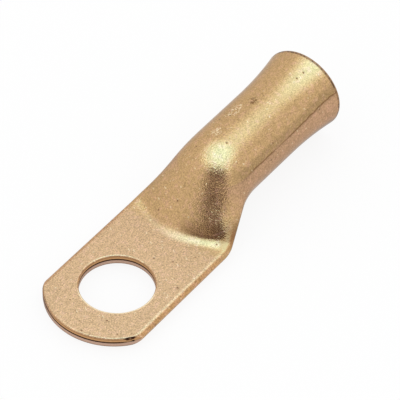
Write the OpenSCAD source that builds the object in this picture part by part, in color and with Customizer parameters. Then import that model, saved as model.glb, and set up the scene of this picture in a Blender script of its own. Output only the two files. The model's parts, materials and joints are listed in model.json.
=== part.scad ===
// Copper cable lug, made from one length of tube.
// One end stays round and is belled for a cable. The other end is pressed flat,
// so that the tube wall lies double there, and is pierced for a stud.
// Millimetres. The origin is the centre of the stud hole on the underside,
// +X runs along the barrel to its mouth and +Z is up from the underside.

/* [Tube] */
// Outside diameter of the round barrel
barrel_d = 14.4; // [12:0.1:18]
// Thickness of the tube wall
wall = 0.95; // [0.7:0.05:1.2]
// Gap left between the two pressed layers
slit_gap = 0.06; // [0.04:0.01:0.15]
// Diameter of the open channel that stays along each fold
fold_channel_d = 0.4; // [0.25:0.05:0.6]

/* [Palm] */
// Diameter of the stud hole
stud_hole_d = 13.5; // [8:0.1:16.5]
// Length from the stud hole's centre to the tip
tip_reach = 13.1; // [11:0.1:17]
// Radius of the arc that trims the tip
tip_radius = 12.6; // [11.5:0.1:20]
// Sideways error of the tip arc's centre
tip_offset = 0.14; // [-0.5:0.02:0.5]
// Depth of the edge that the punch draws down at the hole and the tip
edge_draw = 0.3; // [0.15:0.05:0.45]

/* [Shoulder] */
// Length from the stud hole's centre to the crease where the slope starts
crease_x = 15.7; // [12.5:0.1:20]
// How far the crease bows back towards the folds
crease_bow = 3.1; // [0:0.1:4]
// Slope of the shoulder above the palm, in degrees
slope = 51; // [30:0.5:55]
// Radius of the fillet in the crease
crease_fillet = 3.5; // [2:0.1:6]
// Radius over the crown where the slope meets the barrel
crown_fillet = 8.9; // [2:0.1:10]
// How far the half-pressed section leans from a flat-sided one to a tent
tent = 1.5; // [0:0.1:1.5]

/* [Barrel] */
// Length from the stud hole's centre to the mouth
mouth_x = 56; // [46:0.5:80]
// Length of the belled stretch behind the mouth
bell_length = 12.2; // [5:0.1:14]
// How far the bell stands out all round at the mouth
bell_rise = 0.98; // [0.3:0.02:1.4]
// Size of the rounded corners of the lip
lip_round = 0.4; // [0.2:0.05:0.45]

/* [Hidden] */
$fn = 96;

barrel_r = barrel_d / 2;
bore_r = barrel_r - wall;
palm_t = 2 * wall + slit_gap;
rise = barrel_d - palm_t;
bell_x = mouth_x - bell_length;
// The bell's wall lies between two circles with one centre
bell_arc_r = (bell_length * bell_length + bell_rise * bell_rise) / (2 * bell_rise);
mouth_bore_r = bell_r(barrel_r + bell_arc_r, bell_arc_r + wall);
bell_fn = 720;

// The pressed stretch starts at the first fillet and ends where the last line is round
press_start = crease_x - crease_fillet * tan(slope / 2);
press_end = crease_x + rise / tan(slope) + crown_fillet * tan(slope / 2) + crease_bow;
// Loft steps: along the tube, and round half of it
loft_rings = 20;
half_steps = 24;
// Of the oval share, what the folds keep out and what is left below them
fold_keep = 0.5;
low_share = 0.5;
// How much the outer skin's steps crowd together at its folds
fold_crowding = 0.75;
// Step for the slopes that give a skin's inward direction
nudge = 0.001;
// The lofted skins stop this far inside the plain ones that they run into
skin_step = 0.01;
// They go on this far into them, so that no faces lie on each other
tuck = 0.4;
// Edge arcs cross their faces a little short of tangent
edge_over = 1.06;
past = 1;

// Radius reached at the mouth by a circle of radius r that stands centre_r from the axis
function bell_r(centre_r, r) = centre_r - sqrt(r * r - bell_length * bell_length);

// Width of a tube pressed to height h: the perimeter stays as long as it was
function pressed_width(h) = (PI * barrel_d - (PI - 2) * h) / 2;

// Rise above the palm along a line that does not lag: fillet, slope, crown, barrel
function slope_rise(x) =
    let (
        foot_end = press_start + crease_fillet * sin(slope),
        crown_end = press_end - crease_bow,
        crown_start = crown_end - crown_fillet * sin(slope)
    )
    x <= press_start ? 0 :
    x < foot_end ? crease_fillet - sqrt(pow(crease_fillet, 2) - pow(x - press_start, 2)) :
    x < crown_start ? (x - crease_x) * tan(slope) :
    x < crown_end ? rise - crown_fillet + sqrt(pow(crown_fillet, 2) - pow(crown_end - x, 2)) :
    rise;

// How far a line of the tube lags at fraction t of the way from the middle of the top
// to the middle of the underside: nothing at the middles, the whole bow at the fold
function lag(t) =
    let (across = 1 - abs(2 * t - 1))
    crease_bow * pow(across, 2) * (3 - 2 * across);

// Half of a flat-sided section and of an oval one, as [y, z] at fraction t round them
function flat_sided(w, h, t) =
    let (
        flat = (w - h) / 2,
        r = h / 2,
        along = t * (2 * flat + PI * r),
        turn = (along - flat) / r * 180 / PI
    )
    along < flat ? [along, h] :
    turn < 180 ? [flat + r * sin(turn), r + r * cos(turn)] :
    [2 * flat + PI * r - along, 0];

function oval(w, h, t) = [w / 2 * sin(180 * t), h / 2 * (1 + cos(180 * t))];

// A half-pressed section: the share of the oval is greatest half way up the rise,
// less along the fold, and less again below it
function pressed_point(w, h, t, up) =
    let (
        at_fold = 1 - fold_keep * pow(1 - abs(2 * t - 1), 4),
        share = tent * 4 * up * (1 - up) * at_fold * (t < 0.5 ? 1 : low_share)
    )
    (1 - share) * flat_sided(w, h, t) + share * oval(w, h, t);

// Point of the outer skin. Past a middle line it goes on round the mirrored side
function skin_point(x, t) =
    let (
        side = t < 0 || t > 1 ? -1 : 1,
        from_top = t < 0 ? -t : t > 1 ? 2 - t : t,
        gain = slope_rise(x - lag(from_top)),
        h = palm_t + gain,
        point = pressed_point(pressed_width(h), h, from_top, gain / rise)
    )
    [x, side * point[0], point[1]];

// The same point, moved straight in through the wall by depth
function inside_point(x, t, depth) =
    let (
        round_it = skin_point(x, t + nudge) - skin_point(x, t - nudge),
        along_it = skin_point(x + nudge, t) - skin_point(x - nudge, t),
        inward = cross(round_it, along_it)
    )
    skin_point(x, t) + depth * inward / norm(inward);

// Fraction of step i round half a section. Crowding brings the steps closer at the fold
function step_at(i, crowding) =
    let (t = i / half_steps)
    t + crowding * sin(360 * t) / (2 * PI);

// One closed ring, at a depth inside the outer skin. It is crowded while its fold is sharp
function ring(x, depth, crowding) =
    let (
        up = (x - press_start) / (press_end - press_start),
        near = [for (i = [0 : half_steps])
            inside_point(x, step_at(i, crowding * (1 - max(0, min(1, up)))), depth)]
    )
    concat(near, [for (i = [half_steps - 1 : -1 : 1]) [near[i][0], -near[i][1], near[i][2]]]);

// An end of a loft: strips from its upper half to its lower one, meeting at both folds
function end_faces() =
    let (
        half = half_steps,
        quarter = half_steps / 2,
        count = 2 * half_steps,
        far = [for (i = [0 : half]) (count - i) % count]
    )
    concat(
        [for (i = [0 : quarter - 2]) [i, i + 1, half - i - 1, half - i]],
        [for (i = [0 : quarter - 2]) [far[i + 1], far[i], far[half - i], far[half - i - 1]]],
        [[quarter - 1, quarter, quarter + 1]],
        [[far[quarter], far[quarter - 1], far[quarter + 1]]]
    );

// A closed solid through a list of rings
module loft(rings) {
    count = 2 * half_steps;
    last = len(rings) - 1;
    sides = [for (k = [0 : last - 1], i = [0 : count - 1])
        let (
            a = k * count + i,
            b = k * count + (i + 1) % count
        )
        each [[a, b, a + count], [b, b + count, a + count]]];
    // The first end faces the other way round from the last
    first_end = [for (face = end_faces()) [for (i = [len(face) - 1 : -1 : 0]) face[i]]];
    last_end = [for (face = end_faces()) [for (v = face) last * count + v]];
    polyhedron(
        points = [for (one = rings) each one],
        faces = concat(first_end, sides, last_end),
        convexity = 6
    );
}

// The pressed stretch as a solid, from a depth inside the outer skin inwards.
// Its ends go on past the stretch and step in a little more
module pressed_stretch(depth, step, margin, crowding) {
    start = press_start - margin;
    end = press_end + margin;
    loft(concat(
        [ring(start - tuck, depth + 2 * step, crowding)],
        [for (k = [0 : loft_rings])
            ring(start + (end - start) * k / loft_rings, depth + step, crowding)],
        [ring(end + tuck, depth + 2 * step, crowding)]
    ));
}

// Turns a drawing of radius across and length up into a round solid along +X
module turned() {
    translate([0, 0, barrel_r])
        rotate([0, 90, 0])
            rotate_extrude()
                children();
}

// The corner of an edge that its round takes away, at [across, up] in a drawing.
// side is 1 where the metal lies towards the axis and -1 where it lies away from it
module corner_round(across, up, size, side) {
    difference() {
        translate([side > 0 ? across - size : across - past, up - size])
            square([size + past, size + past]);
        translate([across - side * size, up - size])
            circle(size * edge_over);
    }
}

// Drawing of the barrel from the axis out to radius r, belled by a circle of radius arc_r.
// It is one outline: what lies outside the tube is cut from one rectangle
module barrel_drawing(from_x, r, arc_r, beyond) {
    across = barrel_r + bell_rise + past;
    difference() {
        translate([0, from_x])
            square([across, mouth_x + beyond - from_x]);
        translate([r, from_x - past])
            square([across, bell_x - from_x + past]);
        translate([barrel_r + bell_arc_r, bell_x])
            circle(arc_r, $fn = bell_fn);
    }
}

// The pressed tube of the palm before its tip is trimmed: flat layers, fully round folds
module palm_bar() {
    flat = pressed_width(palm_t) - palm_t;
    length = press_start + tip_reach + past;
    translate([press_start - tuck - length, 0, 0])
        rotate([90, 0, 90])
            linear_extrude(length) {
                translate([-flat / 2, 0])
                    square([flat, palm_t]);
                for (side = [-1, 1])
                    translate([side * flat / 2, palm_t / 2])
                        circle(d = palm_t);
            }
}

// What the tip die leaves: a wide round end with its upper edge drawn down
module tip_trim() {
    middle = tip_radius - tip_reach;
    translate([middle, tip_offset, 0])
        rotate_extrude($fn = 240)
            difference() {
                translate([0, -past])
                    square([tip_radius, palm_t + 2 * past]);
                corner_round(tip_radius, palm_t, edge_draw, 1);
            }
    translate([middle, -barrel_d, -past])
        cube([press_start - middle, 2 * barrel_d, palm_t + 2 * past]);
}

module outer_form() {
    intersection() {
        palm_bar();
        tip_trim();
    }
    pressed_stretch(0, skin_step, tuck, fold_crowding);
    turned()
        difference() {
            barrel_drawing(press_end + tuck, barrel_r, bell_arc_r, 0);
            corner_round(barrel_r + bell_rise, mouth_x, lip_round, 1);
        }
}

// The slit between the pressed layers, with an open channel along each fold
module slit() {
    inside_w = pressed_width(palm_t) - 2 * wall;
    channel_y = (inside_w - fold_channel_d) / 2;
    from_x = -tip_reach - past;
    translate([from_x, -inside_w / 2, wall])
        cube([press_start - 2 * tuck - from_x, inside_w, slit_gap]);
    // The channel ends where the folded lines have opened as wide as it
    fold_foot = press_start + crease_bow;
    channel_end = fold_foot + sqrt(2 * (crease_fillet + wall) * fold_channel_d);
    for (side = [-1, 1])
        translate([from_x, side * channel_y, palm_t / 2])
            rotate([0, 90, 0])
                cylinder(d = fold_channel_d, h = channel_end - from_x, $fn = 24);
}

// The cable's socket: the bore, its bell, and the hollow that narrows down to the slit
module socket() {
    // A slit has little height to give, so its rings step in less
    pressed_stretch(wall, min(skin_step, slit_gap / 6), 2 * tuck, 0);
    turned() {
        barrel_drawing(press_end + 2 * tuck, bore_r, bell_arc_r + wall, past);
        corner_round(mouth_bore_r, mouth_x, lip_round, -1);
    }
}

// The stud hole, punched from above
module stud_hole() {
    rotate_extrude($fn = 240) {
        translate([0, -past])
            square([stud_hole_d / 2, palm_t + 2 * past]);
        corner_round(stud_hole_d / 2, palm_t, edge_draw, -1);
    }
}

module lug_body() {
    color([0.80, 0.62, 0.40])
        difference() {
            outer_form();
            slit();
            socket();
            stud_hole();
        }
}

lug_body();
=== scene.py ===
import json
import math

import bmesh
import bpy
import numpy as np
from mathutils import Matrix, Vector

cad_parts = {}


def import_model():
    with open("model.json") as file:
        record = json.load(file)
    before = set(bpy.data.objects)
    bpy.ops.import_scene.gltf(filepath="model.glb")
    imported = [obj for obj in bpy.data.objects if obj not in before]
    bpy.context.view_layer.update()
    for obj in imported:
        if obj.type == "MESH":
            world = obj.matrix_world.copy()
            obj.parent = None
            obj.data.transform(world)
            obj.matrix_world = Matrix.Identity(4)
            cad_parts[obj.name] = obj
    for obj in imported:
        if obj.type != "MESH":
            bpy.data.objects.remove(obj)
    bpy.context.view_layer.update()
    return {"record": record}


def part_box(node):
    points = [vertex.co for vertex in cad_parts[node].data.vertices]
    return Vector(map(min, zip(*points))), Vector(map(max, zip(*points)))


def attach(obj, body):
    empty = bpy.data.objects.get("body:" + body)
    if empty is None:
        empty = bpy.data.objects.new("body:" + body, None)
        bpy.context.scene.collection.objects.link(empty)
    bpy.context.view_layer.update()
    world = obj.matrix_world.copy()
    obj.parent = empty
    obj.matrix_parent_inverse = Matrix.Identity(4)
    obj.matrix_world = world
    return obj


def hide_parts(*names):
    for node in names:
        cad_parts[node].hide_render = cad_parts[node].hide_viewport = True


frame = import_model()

# A copper cable lug: one length of tube, pressed flat and pierced at one end,
# belled at the other. Lengths on the lug are millimetres, and MM makes them metres.
MM = 0.001

# ---------------------------------------------------------------- sizes from the frame
mounts = {m["name"]: m for m in frame["record"]["mounts"]}
low, high = (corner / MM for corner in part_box("lug_body"))
hole_r = mounts["stud_hole"]["dims"]["r_mm"]
bore_r = mounts["cable_socket"]["dims"]["r_mm"]
barrel_r = mounts["cable_socket"]["pos_m"][2] / MM
palm_t = mounts["palm_top"]["pos_m"][2] / MM
wall = barrel_r - bore_r
slit_gap = palm_t - 2 * wall
slit_z = palm_t / 2
tip_reach = -low.x
mouth_x = high.x
rise = 2 * barrel_r - palm_t

# ---------------------------------------------------------------- sizes of the pressed form
tip_radius = 12.6
tip_offset = 0.14
crease_x = 15.7
crease_bow = 3.1
slope = math.radians(51)
crease_fillet = 3.5
crown_fillet = 8.9
tent = 1.5            # how oval the shoulder's sections are
fold_keep = 0.5       # the share of that which the folds leave out
low_share = 0.5       # the share of it which the underside takes
bell_length = 12.2
bell_rise = 0.98
channel_r = 0.2       # left open along each fold
roll_top = 0.28       # edge drawn down by the punch
roll_low = 0.07
slit_edge = 0.05
lip_round = 0.4
corner_trim = 0.45    # taken off the tip's corners
trim_width = 1.6      # over this much of the palm at each side

tip_middle = tip_radius - tip_reach
press_start = crease_x - crease_fillet * math.tan(slope / 2)
press_end = crease_x + rise / math.tan(slope) + crown_fillet * math.tan(slope / 2) + crease_bow
channel_fade = press_start + 1, press_start + crease_bow + 1.5
bell_x = mouth_x - bell_length
bell_arc_r = (bell_length ** 2 + bell_rise ** 2) / (2 * bell_rise)
join_x = hole_r + 2.4  # where the pierced sheets meet the lofted tube

# ---------------------------------------------------------------- steps of the mesh
FLAT_STEPS = 60       # across a flat layer
FOLD_STEPS = 14       # round a fold
SIDE_STEPS = 26       # along a fold beside the hole
TIP_STEPS = 60        # across the tip
SHEET_STEPS = 18      # from the hole out to the edge, between the close rings at both
EDGE_STEPS = 7        # over a round of an edge
JOIN_STEPS = 12       # from the join to the shoulder
PRESS_STEP = 0.28     # length of a step over the shoulder
BARREL_STEPS = 24     # from the shoulder to the bell
BELL_STEPS = 24       # along the bell
LIP_STEPS = 16        # over the lip
NUDGE = 1e-5          # to either side, for directions on the skin
WELD = 0.0005         # points closer than this become one

# Marks for the material: 0 on drawn skin, 1 on cut metal. The first round of an edge is drawn.
LIP_CUT = 0.5
ROW_CUT = [0.0] * EDGE_STEPS + [1.0] * (EDGE_STEPS + 2)


# ---------------------------------------------------------------- the pressed tube
def pressed_width(h):
    """Width of the tube pressed to height h, its perimeter unchanged."""
    return (math.pi * 2 * barrel_r - (math.pi - 2) * h) / 2


flat_half = (pressed_width(palm_t) - palm_t) / 2
half_round = 2 * flat_half + math.pi * palm_t / 2
fold_q = flat_half / half_round


def smooth(edge0, edge1, x):
    """0 below edge0, 1 above edge1, and an easy curve between."""
    t = np.clip((x - edge0) / (edge1 - edge0), 0, 1)
    return t * t * (3 - 2 * t)


def slope_rise(x):
    """Rise above the palm: fillet in the crease, slope, round over the crown, barrel."""
    foot_end = press_start + crease_fillet * math.sin(slope)
    crown_end = press_end - crease_bow
    crown_start = crown_end - crown_fillet * math.sin(slope)
    in_foot = np.clip(x - press_start, 0, crease_fillet)
    in_crown = np.clip(crown_end - x, 0, crown_fillet)
    return np.select(
        [x <= press_start, x < foot_end, x < crown_start, x < crown_end],
        [0 * x,
         crease_fillet - np.sqrt(crease_fillet ** 2 - in_foot ** 2),
         (x - crease_x) * math.tan(slope),
         rise - crown_fillet + np.sqrt(crown_fillet ** 2 - in_crown ** 2)],
        rise)


def section(w, h, t, up):
    """Half a section at fraction t from the middle of the top to the middle of the underside."""
    flat, r = (w - h) / 2, h / 2
    along = t * (2 * flat + math.pi * r)
    turn = np.clip((along - flat) / r, 0, math.pi)
    side_y = np.select([along < flat, turn < math.pi], [along, flat + r * np.sin(turn)],
                       2 * flat + math.pi * r - along)
    side_z = np.select([along < flat, turn < math.pi], [h, r + r * np.cos(turn)], 0)
    at_fold = 1 - fold_keep * (1 - np.abs(2 * t - 1)) ** 4
    share = tent * 4 * up * (1 - up) * at_fold * np.where(t < 0.5, 1, low_share)
    oval_y, oval_z = w / 2 * np.sin(math.pi * t), r * (1 + np.cos(math.pi * t))
    return (1 - share) * side_y + share * oval_y, (1 - share) * side_z + share * oval_z


def skin_point(x, q):
    """Point of the outer skin at length x, and at q round it: 0 top, 1 underside, 2 top."""
    x, q = np.broadcast_arrays(np.asarray(x, float), np.asarray(q, float) % 2)
    t = np.where(q <= 1, q, 2 - q)
    across = 1 - np.abs(2 * t - 1)
    gain = slope_rise(x - crease_bow * across ** 2 * (3 - 2 * across))
    y, z = section(pressed_width(palm_t + gain), palm_t + gain, t, gain / rise)
    past_bell = np.clip(x - bell_x, 0, None)
    bell = 1 + (bell_arc_r - np.sqrt(bell_arc_r ** 2 - past_bell ** 2)) / barrel_r
    y = y * bell
    z = barrel_r + (z - barrel_r) * bell
    return np.stack([x, np.where(q <= 1, y, -y), z], -1)


def inward(x, q):
    """Unit direction from the outer skin into the metal, square to the axis past the shoulder."""
    around = skin_point(x, q + NUDGE) - skin_point(x, q - NUDGE)
    along = skin_point(np.asarray(x) + NUDGE, q) - skin_point(np.asarray(x) - NUDGE, q)
    into = np.cross(around, along)
    into[..., 0] = np.where(np.asarray(x) > press_end, 0, into[..., 0])
    return into / np.linalg.norm(into, axis=-1, keepdims=True)


def skin(x, q, depth):
    """Point at a depth in the metal under the outer skin."""
    return skin_point(x, q) + inward(x, q) * np.asarray(depth)[..., None]


def from_top(q):
    """How far q is round from the middle of the top: 1 at the middle of the underside."""
    return np.abs(((np.asarray(q, float) + 1) % 2) - 1)


def skin_depth(x, q):
    """Depth of the outer skin, which is none."""
    return 0 * np.asarray(q, float)


def inner_depth(x, q):
    """Depth of the inner skin: one wall, less where a channel stays open along each fold."""
    t = from_top(q)
    from_fold = np.clip(flat_half - np.minimum(t, 1 - t) * half_round, 0, None)
    opened = np.sqrt(np.clip(channel_r ** 2 - from_fold ** 2, 0, None)) - slit_gap / 2
    fade = 1 - smooth(*channel_fade, np.asarray(x, float))
    return wall - np.clip(opened, 0, None) * fade


def skin_roll(q):
    """Round of the tip's outer edge: wide along the top layer, small along the lower one."""
    return roll_top + (roll_low - roll_top) * smooth(fold_q, 1 - fold_q, from_top(q))


def inner_roll(q):
    """Round of the tip's inner edge, the same all the way round."""
    return slit_edge + 0 * np.asarray(q, float)


def cut_x(y, inset=0.0):
    """Where the tip die cuts at y, or a little way in from there."""
    r = tip_radius - inset
    edge = pressed_width(palm_t) / 2
    trim = corner_trim * smooth(edge - trim_width, edge, np.abs(y)) ** 2
    return tip_middle - np.sqrt(r ** 2 - (y - tip_offset) ** 2) + trim


# ---------------------------------------------------------------- the mesh
class Shell:
    """Grids of points that are welded into one closed mesh."""

    def __init__(self):
        self.points, self.quads, self.marks, self.count = [], [], [], 0

    def grid(self, points, closed=False, cut=0.0):
        """cut is 0 on the drawn skin and 1 on cut metal: one value, or one for each row."""
        rows, cols = points.shape[:2]
        cut = np.reshape(cut, (-1, 1))
        index = self.count + np.arange(rows * cols).reshape(rows, cols)
        right = np.roll(index, -1, 1) if closed else index[:, 1:]
        left = index if closed else index[:, :-1]
        quads = np.stack([left[:-1], right[:-1], right[1:], left[1:]], -1)
        self.points.append(points.reshape(-1, 3))
        self.quads.append(quads.reshape(-1, 4))
        self.marks.append(np.broadcast_to(cut, (rows, cols)).reshape(-1))
        self.count += rows * cols

    def make(self, name):
        """The welded mesh as an object, kept inside the solid's own box."""
        mesh = bpy.data.meshes.new(name)
        points = np.clip(np.concatenate(self.points), low, high)
        mesh.from_pydata((points * MM).tolist(), [],
                         np.concatenate(self.quads).tolist())
        marks = mesh.attributes.new("cut", "FLOAT", "POINT")
        marks.data.foreach_set("value", np.concatenate(self.marks).astype(np.float32))
        bm = bmesh.new()
        bm.from_mesh(mesh)
        bmesh.ops.remove_doubles(bm, verts=bm.verts, dist=WELD * MM)
        bmesh.ops.recalc_face_normals(bm, faces=bm.faces)
        bm.to_mesh(mesh)
        bm.free()
        mesh.polygons.foreach_set("use_smooth", [True] * len(mesh.polygons))
        body = bpy.data.objects.new(name, mesh)
        bpy.context.scene.collection.objects.link(body)
        return body


def spread(start, end, steps):
    """Even steps from start to end."""
    return start + (end - start) * np.linspace(0, 1, steps + 1)


# Steps round the tube: one fold, the underside, the other fold, the top
fold_a = np.linspace(fold_q, 1 - fold_q, FOLD_STEPS + 1)
fold_b = fold_a + 1


def round_steps(flat_steps):
    """Steps all the way round, with the last one left out as it is the first again."""
    under = np.linspace(1 - fold_q, 1 + fold_q, flat_steps + 1)
    top = np.linspace(2 - fold_q, 2 + fold_q, flat_steps + 1)
    return np.concatenate([fold_a[:-1], under[:-1], fold_b[:-1], top[:-1]])


def edge_rows(roll, end_depth):
    """Rows over an edge, as (inset, depth): a round at the skin, the cut, a small round inside."""
    turn = np.linspace(0, math.pi / 2, EDGE_STEPS + 1)
    outer = [(roll * (1 - np.sin(a)), roll * (1 - np.cos(a))) for a in turn]
    inner = [(slit_edge * (1 - np.cos(a)), end_depth - slit_edge * (1 - np.sin(a))) for a in turn]
    return outer + inner


def outline(inset):
    """The edge of a flat layer, once round: join, far fold, tip, near fold."""
    join_y = np.linspace(-flat_half, flat_half, FLAT_STEPS + 1)
    tip_y = np.linspace(flat_half, -flat_half, TIP_STEPS + 1)
    far_start, near_start = cut_x(np.array([flat_half, -flat_half]), inset)
    far_x = spread(join_x, far_start, SIDE_STEPS)
    near_x = spread(near_start, join_x, SIDE_STEPS)
    return np.concatenate([
        np.stack([join_x + 0 * join_y, join_y], -1)[:-1],
        np.stack([far_x, flat_half + 0 * far_x], -1)[:-1],
        np.stack([cut_x(tip_y, inset), tip_y], -1)[:-1],
        np.stack([near_x, -flat_half + 0 * near_x], -1)[:-1]])


# Points of the stud hole lie in the same directions from its middle as those of the outline
full_outline = outline(0)
edge_angle = np.arctan2(full_outline[:, 1], full_outline[:, 0])
hole_dir = np.stack([np.cos(edge_angle), np.sin(edge_angle)], -1)
# Rings of a flat face, as shares of the way from the hole to the edge, close together at both
ring_shares = np.concatenate([[0, 0.012], spread(0.03, 0.97, SHEET_STEPS), [0.985, 1]])


def flat_height(y, depth_of, top):
    """Height of a flat layer's face at y, for a face at a depth in the metal."""
    depth = depth_of(0.0, np.abs(y) / half_round)
    return palm_t - depth if top else depth


def sheet(inset, depth_of, top):
    """A pierced flat face, ring by ring from the stud hole to the edge."""
    edge = outline(inset)
    hole = hole_dir * (hole_r + inset)
    flat = hole[None] + (edge - hole)[None] * ring_shares[:, None, None]
    z = flat_height(flat[..., 1], depth_of, top)
    return np.concatenate([flat, z[..., None]], -1)


def hole_wall(roll, top):
    """The cut face of one layer in the stud hole, over its drawn edge and down to the slit."""
    rows = []
    for inset, depth in edge_rows(roll, wall):
        ring = hole_dir * (hole_r + inset)
        z = palm_t - depth if top else depth
        rows.append(np.concatenate([ring, np.full((len(ring), 1), z)], -1))
    return np.array(rows)


def add_tube(shell):
    """The tube from the palm to the mouth: outside, over the lip and back inside."""
    q = round_steps(FLAT_STEPS)
    stations = np.concatenate([
        spread(join_x, press_start, JOIN_STEPS)[:-1],
        np.arange(press_start, press_end, PRESS_STEP),
        spread(press_end, bell_x, BARREL_STEPS)[:-1],
        spread(bell_x, mouth_x - lip_round, BELL_STEPS)])
    shell.grid(skin(stations[:, None], q[None], np.zeros((1, 1))), closed=True)
    turn = np.linspace(0, math.pi, LIP_STEPS + 1)
    lip_x = mouth_x - lip_round * (1 - np.sin(turn))
    lip_depth = np.where(turn < math.pi / 2, lip_round * (1 - np.cos(turn)),
                         wall - lip_round * (1 + np.cos(turn)))
    shell.grid(skin(lip_x[:, None], q[None], lip_depth[:, None]), closed=True, cut=LIP_CUT)
    inside = stations[::-1][:, None] + 0 * q[None]
    shell.grid(skin(inside, q[None], inner_depth(inside, q[None])), closed=True)


def add_layers(shell):
    """The two flat layers round the stud hole: outer face, slit face and wall of the hole."""
    for top, roll in ((True, roll_top), (False, roll_low)):
        shell.grid(sheet(roll, skin_depth, top), closed=True)
        shell.grid(sheet(slit_edge, inner_depth, top), closed=True)
        shell.grid(hole_wall(roll, top), closed=True, cut=ROW_CUT)


def add_folds(shell):
    """The folds beside the hole, outside and in the channel."""
    for fold in (fold_a, fold_b):
        for depth_of, roll_of in ((skin_depth, skin_roll), (inner_depth, inner_roll)):
            depth = depth_of(0.0, fold)
            start = cut_x(skin(0.0, fold, depth)[:, 1], roll_of(fold))
            part = np.linspace(0, 1, SIDE_STEPS + 1)[:, None]
            x = start[None] + (join_x - start[None]) * part
            strip = skin(0.0 * x, fold[None] + 0 * x, depth[None] + 0 * x)
            strip[..., 0] = x
            shell.grid(strip)


def add_tip(shell):
    """The cut across the tip, round both layers and both folds."""
    q = round_steps(TIP_STEPS)
    rows = []
    for inset, depth in edge_rows(skin_roll(q), inner_depth(0.0, q)):
        ring = skin(0 * q, q, depth)
        ring[:, 0] = cut_x(ring[:, 1], inset)
        rows.append(ring)
    shell.grid(np.array(rows), closed=True, cut=ROW_CUT)


def lug():
    """The whole lug as one closed mesh."""
    shell = Shell()
    add_tube(shell)
    add_layers(shell)
    add_folds(shell)
    add_tip(shell)
    return shell.make("lug")


# ---------------------------------------------------------------- colours
def colour(red, green, blue):
    """A colour from its 0 to 255 screen values."""
    def linear(v):
        v = v / 255
        return v / 12.92 if v <= 0.04045 else ((v + 0.055) / 1.055) ** 2.4
    return (linear(red), linear(green), linear(blue), 1.0)


WHITE = (1, 1, 1, 1)
BARREL = colour(195, 160, 113)
PALM = colour(196, 157, 119)
SIDE = colour(190, 148, 100)        # folds beside the palm
FOLD_FLOOR_REFLECTION = colour(208, 186, 166)        # painted reflection of the floor on their lower part
FLOOR_REFLECTION = colour(184, 146, 116)       # painted reflection of the floor, below the horizon line
ROSE = colour(206, 160, 134)        # copper under the bloom
BRIGHT = colour(246, 222, 184)      # fresh scratches, and a painted highlight on the stud hole's drawn rim
INSIDE = colour(206, 152, 104)      # of the tube
UNDER_SHADE = colour(112, 94, 82)       # painted shade, low down on the barrel
FOLD_SHADE = colour(152, 106, 66)         # painted shade on the fold at the shoulder's foot
BROWN = colour(118, 82, 50)         # old dirt, and painted shade and painted dark reflections
CUT = colour(205, 160, 112)         # punched edge of the top layer
RAW = colour(200, 168, 148)         # punched edge of the lower layer
SLIT = colour(58, 30, 20)           # gaps, the lip, the far corner's dark edge and painted shadow in a torn notch
GLANCING = colour(222, 216, 212)    # tint of the metal seen edge-on

# ---------------------------------------------------------------- marks on the copper
# Sizes of the noise, from broad clouds down to grain
CLOUD_SIZE = 5.0
MOTTLE_SIZE = 0.9
SQUIGGLE_SIZE = 0.8
PEEL_SIZE = 0.26
GRAIN_SIZE = 0.25

# Where along the piece each finish comes or goes
PALM_END = crease_x - 1.5, crease_x + 2.0
PRESSED_START = crease_x - 0.5, crease_x + 2.5
PRESSED_END = 26.0, 34.0
UNDER_SHADE_START = crease_x + 2.5, 24.0
FLOOR_REFLECTION_START = 22.0, 27.0
PAINTED_DIM_START = 24.0, 29.0
LINE_START = 26.0, 31.0
INSIDE_START = 30.0, 36.0

# Where across it or up it, from the near side to the far one and from the floor up
NEAR_SIDE = -5.0, -3.0
NEAR_HALF = -4.0, 1.0
FAR_HALF = 0.5, 5.0
UNDERSIDE = 2.0, 6.0

# The painted horizon line along the near side: its height, what it climbs along the bell, and its
# wobble
LINE_Z, LINE_CLIMB, LINE_WOBBLE = 9.65, 0.9, 0.5

# Sparse short scratches, as turns in degrees and lengths along each axis
SCRATCHES = ((20, 15, 62), (0.8, 0.16, 0.3)), ((0, 40, -35), (0.6, 0.15, 0.3))
SCRATCHES_APART = 3.8
SCRATCHES_KEPT = 0.72, 0.74
PITS_APART = 1.5
PITS_KEPT = 0.72, 0.76
PIT_R = 0.1, 0.28

# Single marks, as a middle and a reach along each axis
SCUFFS = (38.3, 2.6, 13.9), (36.8, 2.2, 14.05), (30.9, 1.6, 14.2)
SCUFF_REACH = 1.5, 1.1, 1.1
SQUIGGLE_HALF = 0.06
NICK = (41.3, 1.0, 14.3), (1.3, 1.0, 1.0)
NEAR_FOLD = (19.6, -9.6, 2.8), (2.6, 1.5, 2.0)
NEAR_END = (18.2, -9.9, 2.1), (1.7, 1.1, 0.8)
STREAK = (19.5, -7.7, 3.5), (1.6, 1.3, 1.0)
NOTCH_SHADOW = (-8.5, -9.4, 1.68), (1.9, 0.9, 0.42)


# ---------------------------------------------------------------- nodes
class Wire:
    """What a node gives. Python's arithmetic on it adds Math nodes."""

    def __init__(self, paint, socket):
        self.paint, self.socket = paint, socket

    def out(self, name):
        """Another output of the same node."""
        return Wire(self.paint, self.socket.node.outputs[name])

    def maths(self, operation, first, second):
        return self.paint.node("ShaderNodeMath", {"operation": operation}, {0: first, 1: second})

    def __add__(self, other):
        return self.maths("ADD", self, other)

    def __sub__(self, other):
        return self.maths("SUBTRACT", self, other)

    def __rsub__(self, other):
        return self.maths("SUBTRACT", other, self)

    def __mul__(self, other):
        return self.maths("MULTIPLY", self, other)

    def __pow__(self, other):
        return self.maths("POWER", self, other)

    def __abs__(self):
        return self.paint.node("ShaderNodeMath", {"operation": "ABSOLUTE"}, {0: self})

    __radd__ = __add__
    __rmul__ = __mul__


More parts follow.
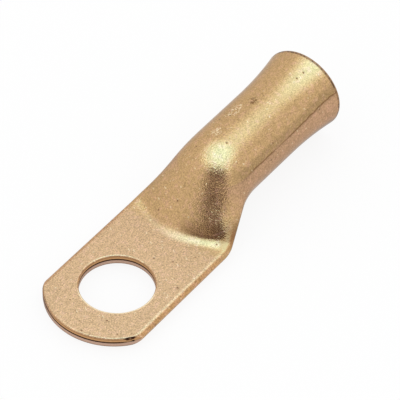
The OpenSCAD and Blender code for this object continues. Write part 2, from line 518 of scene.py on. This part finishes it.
class Paint:
    """The nodes of one material."""

    def __init__(self, name):
        self.material = bpy.data.materials.new(name)
        self.material.use_nodes = True
        self.tree = self.material.node_tree
        self.tree.nodes.clear()

    def node(self, kind, settings=None, inputs=None):
        """Adds a node: its settings first, then the values or wires of its sockets."""
        added = self.tree.nodes.new(kind)
        for name, value in (settings or {}).items():
            setattr(added, name, value)
        for name, value in (inputs or {}).items():
            if isinstance(value, Wire):
                self.tree.links.new(value.socket, added.inputs[name])
            else:
                added.inputs[name].default_value = value
        return Wire(self, added.outputs[0] if added.outputs else None)

    def finish(self, surface):
        self.node("ShaderNodeOutputMaterial", None, {"Surface": surface})
        return self.material

    def own_places(self):
        """Places on the object itself, in metres."""
        return self.node("ShaderNodeTexCoord").out("Object")

    def axes(self, places):
        split = self.node("ShaderNodeSeparateXYZ", None, {"Vector": places})
        return split.out("X"), split.out("Y"), split.out("Z")

    def smooth(self, value, start, end):
        """0 below start, 1 above end, and an easy curve between."""
        return self.node("ShaderNodeMapRange", {"interpolation_type": "SMOOTHSTEP"},
                         {"Value": value, "From Min": start, "From Max": end})

    def fade(self, value, start, end):
        """1 below start, 0 above end, and an easy curve between."""
        return 1 - self.smooth(value, start, end)

    def band(self, value, middle, half):
        """1 about the middle, falling to 0 at half a width on either side."""
        return self.fade(abs(value - middle), 0.35 * half, half)

    def blend(self, share, first, second):
        """A mix of two colours."""
        mixed = self.node("ShaderNodeMix", {"data_type": "RGBA"},
                          {0: share, 6: first, 7: second})
        return Wire(self, mixed.socket.node.outputs[2])

    def coats(self, tint, *layers):
        """Colours laid over a tint one after another, each as (share, colour)."""
        for share, over in layers:
            tint = self.blend(share, tint, over)
        return tint

    def shade(self, tint, level):
        """A colour made lighter or darker by a level around 1."""
        return self.node("ShaderNodeVectorMath", {"operation": "SCALE"},
                         {"Vector": tint, "Scale": level})


# ---------------------------------------------------------------- the copper
class Copper(Paint):
    """Drawn and tumbled copper with a golden bloom. Its masks are 1 where a mark is strongest."""

    def __init__(self):
        super().__init__("copper")
        self.places = self.node("ShaderNodeVectorMath", {"operation": "SCALE"},
                                {"Vector": self.own_places(), "Scale": 1 / MM})
        self.x, self.y, self.z = self.axes(self.places)
        self.cut = self.node("ShaderNodeAttribute", {"attribute_name": "cut"}).out("Fac")
        self.clouds = self.noise(CLOUD_SIZE)
        self.mottle = self.noise(MOTTLE_SIZE, 3.0)
        self.grain = self.noise(GRAIN_SIZE)
        self.palm = self.fade(self.x, *PALM_END)
        self.mark_flank()
        self.mark_wear()
        self.mark_palm()
        self.mark_edges()
        self.mark_tube()

    def noise(self, size, detail=2.0):
        """Cloudy noise around 0, with features of a size in millimetres."""
        return self.node("ShaderNodeTexNoise", None,
                         {"Vector": self.places, "Scale": 1 / size, "Detail": detail}) - 0.5

    def cells(self, places, size):
        """Distance to the nearest of scattered places, in millimetres, and its random share."""
        far = self.node("ShaderNodeTexVoronoi", None, {"Vector": places, "Scale": 1 / size})
        chance = self.node("ShaderNodeSeparateColor", None, {"Color": far.out("Color")})
        return far * size, chance

    def scratches(self, turn, size):
        """Scattered short marks, turned by degrees and of a size along each axis."""
        turned = self.node("ShaderNodeMapping", {"vector_type": "TEXTURE"},
                           {"Vector": self.places, "Rotation": [math.radians(a) for a in turn],
                            "Scale": size})
        far, chance = self.cells(turned, SCRATCHES_APART)
        return self.fade(far, 0.4, 0.7) * self.smooth(chance, *SCRATCHES_KEPT)

    def spot(self, middle, reach):
        """1 at a place, falling to 0 at its reach along each axis."""
        away = 0
        for axis, at, half in zip((self.x, self.y, self.z), middle, reach):
            away = away + ((axis - at) * (1 / half)) ** 2.0
        return self.fade(away, 0.4, 1.0)

    def from_upright(self, middle_x):
        """Distance from an upright axis on the lug's middle line."""
        return ((self.x - middle_x) ** 2.0 + self.y ** 2.0) ** 0.5

    def mark_flank(self):
        """The near side's painted horizon: a dark line with a slight groove, painted shade above
        and a rosier painted floor reflection below.
        """
        into_bell = self.smooth(self.x, bell_x, mouth_x)
        above_line = self.z - (into_bell * LINE_CLIMB + LINE_Z) + self.mottle * LINE_WOBBLE
        near = self.fade(self.y, *NEAR_SIDE)
        # Painted reflection of the floor, below the horizon line
        self.floor_reflection = self.fade(above_line, -0.1, 0.05) * self.smooth(self.x, *FLOOR_REFLECTION_START)
        # Painted shade in a band just above it
        self.painted_dim = self.band(above_line, 0.6, 1.3) * near * self.smooth(self.x, *PAINTED_DIM_START)
        # A painted dark line at the horizon, with a slight groove in the relief
        line = self.band(above_line, 0.03, 0.2) * near * self.smooth(self.x, *LINE_START)
        self.line = line * self.smooth(self.clouds, -0.2, 0.0)

    def mark_wear(self):
        """Worn bloom, sparse short scratches, pits that hold dirt, and the single marks."""
        self.worn = self.smooth(self.mottle, -0.05, 0.25)
        first, second = (self.scratches(turn, size) for turn, size in SCRATCHES)
        self.ticks = first + second
        far, chance = self.cells(self.places, PITS_APART)
        self.pits = self.fade(far, *PIT_R) * self.smooth(chance, *PITS_KEPT)
        squiggle = self.band(self.noise(SQUIGGLE_SIZE, 1.0), 0.0, SQUIGGLE_HALF)
        self.scuffs = [self.spot(middle, SCUFF_REACH) * squiggle for middle in SCUFFS]
        self.nick = self.spot(*NICK) * squiggle
        # A scratch that comes down towards the far side, at the shoulder's foot
        fall, middle_z, half = 0.52, -0.51, 0.13
        self.streak = self.band(self.z + self.y * fall, middle_z, half) * self.spot(*STREAK)

    def mark_palm(self):
        """The folds beside the palm with a painted floor reflection low down, painted shade at its
        far crease and the shoulder's near foot, and a painted highlight on the drawn rim.
        """
        self.side = self.smooth(abs(self.y), flat_half + 0.3, flat_half + 0.8) * self.palm
        # Painted reflection of the floor on the folds' lower part
        self.side_floor_reflection = self.side * self.fade(self.z, 0.6, 1.3)
        # Painted shade that dims the crease's highlight at its far end
        far_crease_shade = self.band(self.x, crease_x - 1.4, 3.2) * self.smooth(self.y, *FAR_HALF)
        self.far_crease_shade = far_crease_shade * self.smooth(self.z, palm_t + 0.01, palm_t + 0.12)
        # Painted shade in the crease at the shoulder's near foot
        above_crease = self.smooth(self.z, palm_t + 0.2, palm_t + 0.8)
        foot = above_crease * self.fade(self.z, palm_t + 1.2, palm_t + 3.5)
        self.foot = foot * self.fade(self.y, *NEAR_HALF)
        drawn = 1 - self.cut
        self.rolled = self.palm * self.smooth(palm_t - self.z, 0.004, 0.03) * drawn
        # Painted highlight along the front of the stud hole's drawn rim
        rim = self.band(self.from_upright(0), hole_r + roll_top / 2, roll_top) * drawn
        self.rim = rim * self.fade(self.x + self.y * 0.7, -4.0, -1.0)

    def mark_edges(self):
        """The punched edges: a painted dark reflection under the drawn round, golden metal, the
        dark slit between the layers, then the raw lower layer and painted shade at its foot."""
        slit_half, near_closing = 0.24, 0.8
        far_rise, far_widening, far_dark = 0.42, 0.14, 0.35
        edge = self.cut * self.palm
        far_end = self.smooth(self.y, 3.0, 8.5) * self.fade(self.x, -7.8, -7.2)
        near_end = self.smooth(0 - self.y, 8.2, 9.6)
        top_layer = self.smooth(self.z, slit_z - 0.2, slit_z)
        # Painted dark reflection just under the drawn round
        painted_roll_reflection = self.band(self.z, palm_t - roll_top - 0.03, 0.09)
        self.raw = edge * (1 - top_layer * (1 - far_end))
        self.painted_roll_reflection = edge * painted_roll_reflection * (1 - far_end)
        # Painted shade at the foot of the cut edges
        self.edge_foot_shade = edge * self.fade(self.z, 0.08, 0.25)
        slit = self.band(self.z, slit_z + far_end * far_rise, far_end * far_widening + slit_half)
        self.slit = edge * slit * (1 - near_end * near_closing)
        # Painted shadow in a torn notch at the near corner, and a dark edge at the far one
        notch_shadow = self.spot(*NOTCH_SHADOW) * self.smooth(self.mottle, -0.3, -0.05)
        notch_shadow = notch_shadow * self.smooth(palm_t - self.z, 0.005, 0.04)
        from_tip = self.from_upright(tip_middle)
        outermost = self.smooth(from_tip, tip_radius - 0.2, tip_radius - 0.1)
        self.corner_darks = notch_shadow + outermost * far_end * far_dark

    def mark_tube(self):
        """The pressed skin, the lip, the inside of the tube and painted shade on its underside."""
        self.pressed = self.smooth(self.x, *PRESSED_START) * self.fade(self.x, *PRESSED_END)
        lip_back, lip_half = 0.35, 0.45
        self.lip = self.band(self.x, mouth_x - lip_back, lip_half)
        bell_share = self.x.maths("MAXIMUM", self.x - bell_x, 0) * (1 / bell_length)
        from_axis = (self.y ** 2.0 + (self.z - barrel_r) ** 2.0) ** 0.5
        from_axis = from_axis - bell_share ** 2.0 * bell_rise
        in_bore = self.fade(from_axis, bore_r + 0.2, bore_r + 0.5)
        self.inside = in_bore * self.smooth(self.x, *INSIDE_START)
        # Painted shade low down, from the shoulder to the mouth
        self.under = self.fade(self.z, *UNDERSIDE) * self.smooth(self.x, *UNDER_SHADE_START)

    def bloom(self):
        """The colour of the clean metal, cloudy and grainy, with painted floor reflections and
        painted shade laid in.
        """
        tint = self.coats(
            self.blend(self.palm, BARREL, PALM),
            (self.side, SIDE),
            # Painted floor reflection on the folds' lower part
            (self.side_floor_reflection * 0.75, FOLD_FLOOR_REFLECTION),
            # Painted floor reflection below the horizon line
            (self.floor_reflection * 0.75, FLOOR_REFLECTION),
            (self.worn * 0.5, ROSE))
        cloudy = 1 + self.clouds * 0.16 + self.mottle * 0.3 + self.grain * (self.palm * 0.4 + 1.3)
        tint = self.shade(tint, cloudy)
        # Painted shade above the horizon line
        tint = self.shade(tint, 1 - self.painted_dim * 0.24)
        # Painted shade at the crease's far end
        return self.shade(tint, 1 - self.far_crease_shade * 0.2)

    def tint(self):
        """The bloom, with its wear, its dirt, its cut edges, and painted shade, highlights and
        reflections laid over it.
        """
        return self.coats(
            self.bloom(),
            (self.ticks * 0.5, BRIGHT),
            *((scuff * 0.8, BRIGHT) for scuff in self.scuffs),
            (self.nick * 0.8, BROWN),
            (self.lip * 0.9, SLIT),
            (self.line * 0.7, BROWN),
            (self.pits * 0.8, BROWN),
            # Painted shade at the shoulder's near foot
            (self.foot * 0.6, BROWN),
            (self.cut, CUT),
            (self.raw, RAW),
            (self.painted_roll_reflection, BROWN),
            (self.edge_foot_shade, BROWN),
            (self.slit, SLIT),
            # Painted shadow in the near corner's notch, and the far corner's dark edge
            (self.corner_darks, SLIT),
            # Painted highlight on the stud hole's drawn rim
            (self.rim * 0.9, BRIGHT),
            # Painted shade on the near fold at the shoulder's foot
            (self.spot(*NEAR_FOLD) * 0.6, FOLD_SHADE),
            (self.spot(*NEAR_END) * 0.6, SIDE),
            (self.streak * 0.6, ROSE),
            (self.inside * 0.7, INSIDE),
            # Painted shade low on the barrel
            (self.under * 0.35, UNDER_SHADE))

    def roughness(self):
        """Duller on the palm and on cut metal, and polished where an edge is drawn."""
        return (0.22 + self.palm * 0.18 + self.cut * 0.2 + self.mottle * 0.1
                - self.rolled * 0.2)

    def bareness(self):
        """How metallic it is: less at the lip, inside the tube and in the pits."""
        return (1 - self.lip * 0.7) * (1 - self.inside * 0.3) * (1 - self.pits * 0.5)

    def relief(self):
        """Height in millimetres of what is too fine for the mesh."""
        peel = self.noise(PEEL_SIZE, 1.0)
        return (peel * self.pressed * 0.045 + self.grain * (self.palm * 0.012 + 0.006)
                + self.mottle * 0.006 + self.ticks * 0.01 - self.pits * 0.03
                - self.line * 0.02 - self.nick * 0.02)


def copper():
    """The one material of the lug."""
    paint = Copper()
    bump = paint.node("ShaderNodeBump", None, {"Distance": MM, "Height": paint.relief()})
    return paint.finish(paint.node("ShaderNodeBsdfPrincipled", None, {
        "Base Color": paint.tint(), "Metallic": paint.bareness(),
        "Roughness": paint.roughness(), "Normal": bump, "Specular Tint": GLANCING}))


# ---------------------------------------------------------------- stage, light and camera
STAGE_X = 0.02        # near the middle of the lug's length
MATT = 0.9            # roughness of paper and card


def stage_piece(name, points, faces, material):
    """A mesh that belongs to the stage and not to the lug."""
    mesh = bpy.data.meshes.new(name)
    mesh.from_pydata(points, [], faces)
    mesh.materials.append(material)
    prop = bpy.data.objects.new(name, mesh)
    bpy.context.scene.collection.objects.link(prop)
    return prop


def stage_floor():
    """A plain white floor that keeps a faint shadow."""
    half, whiteness = 1.5, 0.88
    paper = (0.95, 0.95, 0.95, 1)
    z = low.z * MM
    paint = Paint("floor")
    plain = paint.node("ShaderNodeBsdfPrincipled", None,
                       {"Base Color": paper, "Roughness": MATT})
    white = paint.node("ShaderNodeEmission", None, {"Color": WHITE, "Strength": 1.0})
    ray = paint.node("ShaderNodeLightPath")
    seen = ray.out("Is Camera Ray") + ray.out("Is Glossy Ray") + ray.out("Is Transmission Ray")
    surface = paint.node("ShaderNodeMixShader", None, {0: seen * whiteness, 1: plain, 2: white})
    stage_piece("floor", [(-half, -half, z), (half, -half, z), (half, half, z), (-half, half, z)],
                [(0, 1, 2, 3)], paint.finish(surface))


def only_reflected(prop):
    """Leaves a stage piece to be seen in the metal alone."""
    prop.visible_camera = False
    prop.visible_diffuse = False
    prop.visible_transmission = False
    prop.visible_shadow = False


def softbox():
    """A wide soft lamp overhead, white at its rim and brightest in the middle."""
    height, radius, steps = 0.6, 0.85, 64
    to_near_side = -0.085
    core, fringe = 0.3 * height, 1.3 * height
    lamp_middle, lamp_side = (1.6, 2.5, 3.1, 1), (1.72, 1.72, 1.58, 1)
    turn = [2 * math.pi * k / steps for k in range(steps)]
    paint = Paint("softbox")
    x, y = paint.axes(paint.own_places())[:2]
    middle = paint.fade((x ** 2.0 + y ** 2.0) ** 0.5, core, fringe)
    tint = paint.coats(WHITE, (middle, lamp_side), (middle ** 2.0, lamp_middle))
    glow = paint.node("ShaderNodeEmission", None, {"Color": tint, "Strength": 1.0})
    lamp = stage_piece("softbox", [(radius * math.cos(a), radius * math.sin(a), 0) for a in turn],
                       [tuple(range(steps))], paint.finish(glow))
    lamp.location = (STAGE_X, to_near_side, height)
    only_reflected(lamp)


def flag():
    """A card below the lamp, which the shoulder reflects. It darkens from its far end on."""
    reach, steps = 0.6, 24
    start, end = math.radians(168), math.radians(246)
    bottom, top = math.radians(24), math.radians(51.2)
    light_end, dark_start = math.radians(-10), math.radians(20)
    light, dark = (0.9, 0.9, 0.9, 1), (0.22, 0.145, 0.17, 1)
    turn = [start + (end - start) * k / steps for k in range(steps + 1)]
    points = [(reach * math.cos(tilt) * math.cos(a), reach * math.cos(tilt) * math.sin(a),
               reach * math.sin(tilt)) for tilt in (bottom, top) for a in turn]
    faces = [(k, k + 1, k + steps + 2, k + steps + 1) for k in range(steps)]
    paint = Paint("flag")
    x, y = paint.axes(paint.own_places())[:2]
    # The angle from -X, which grows along the card
    angle = y.maths("ARCTAN2", 0 - y, 0 - x)
    share = paint.smooth(angle, light_end, dark_start)
    card_stock = paint.node("ShaderNodeBsdfPrincipled", None, {
        "Base Color": paint.blend(share, light, dark), "Roughness": MATT})
    card = stage_piece("flag", points, faces, paint.finish(card_stock))
    card.location = (STAGE_X, 0, 0)
    only_reflected(card)


def camera():
    """A long lens, turned a little about its own line of sight."""
    aim = Vector((16.875, -5.245, 12.403)) * MM
    bearing, elevation, tilt = math.radians(53.99), math.radians(45.357), math.radians(1.065)
    distance, lens, sensor = 500 * MM, 258.41, 36
    right = Vector((math.cos(bearing), -math.sin(bearing), 0))
    away = Vector((math.sin(bearing), math.cos(bearing), 0))
    up = Vector((0, 0, 1))
    forward = away * math.cos(elevation) - up * math.sin(elevation)
    over = away * math.sin(elevation) + up * math.cos(elevation)
    across = right * math.cos(tilt) + over * math.sin(tilt)
    upward = over * math.cos(tilt) - right * math.sin(tilt)
    data = bpy.data.cameras.new("camera")
    data.lens, data.sensor_width = lens, sensor
    data.clip_start, data.clip_end = 0.01, 10
    cam = bpy.data.objects.new("camera", data)
    cam.matrix_world = Matrix.Translation(aim - forward * distance) @ Matrix(
        (across, upward, -forward)).transposed().to_4x4()
    bpy.context.scene.collection.objects.link(cam)
    bpy.context.scene.camera = cam


def world():
    """Plain white light from all round."""
    studio = bpy.data.worlds.new("studio")
    bpy.context.scene.world = studio
    studio.use_nodes = True
    background = studio.node_tree.nodes["Background"]
    background.inputs["Color"].default_value = WHITE
    background.inputs["Strength"].default_value = 1.0


bpy.context.scene.view_settings.view_transform = "Standard"
camera()
world()
stage_floor()
softbox()
flag()
piece = lug()
piece.data.materials.append(copper())
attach(piece, "root")
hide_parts("lug_body")
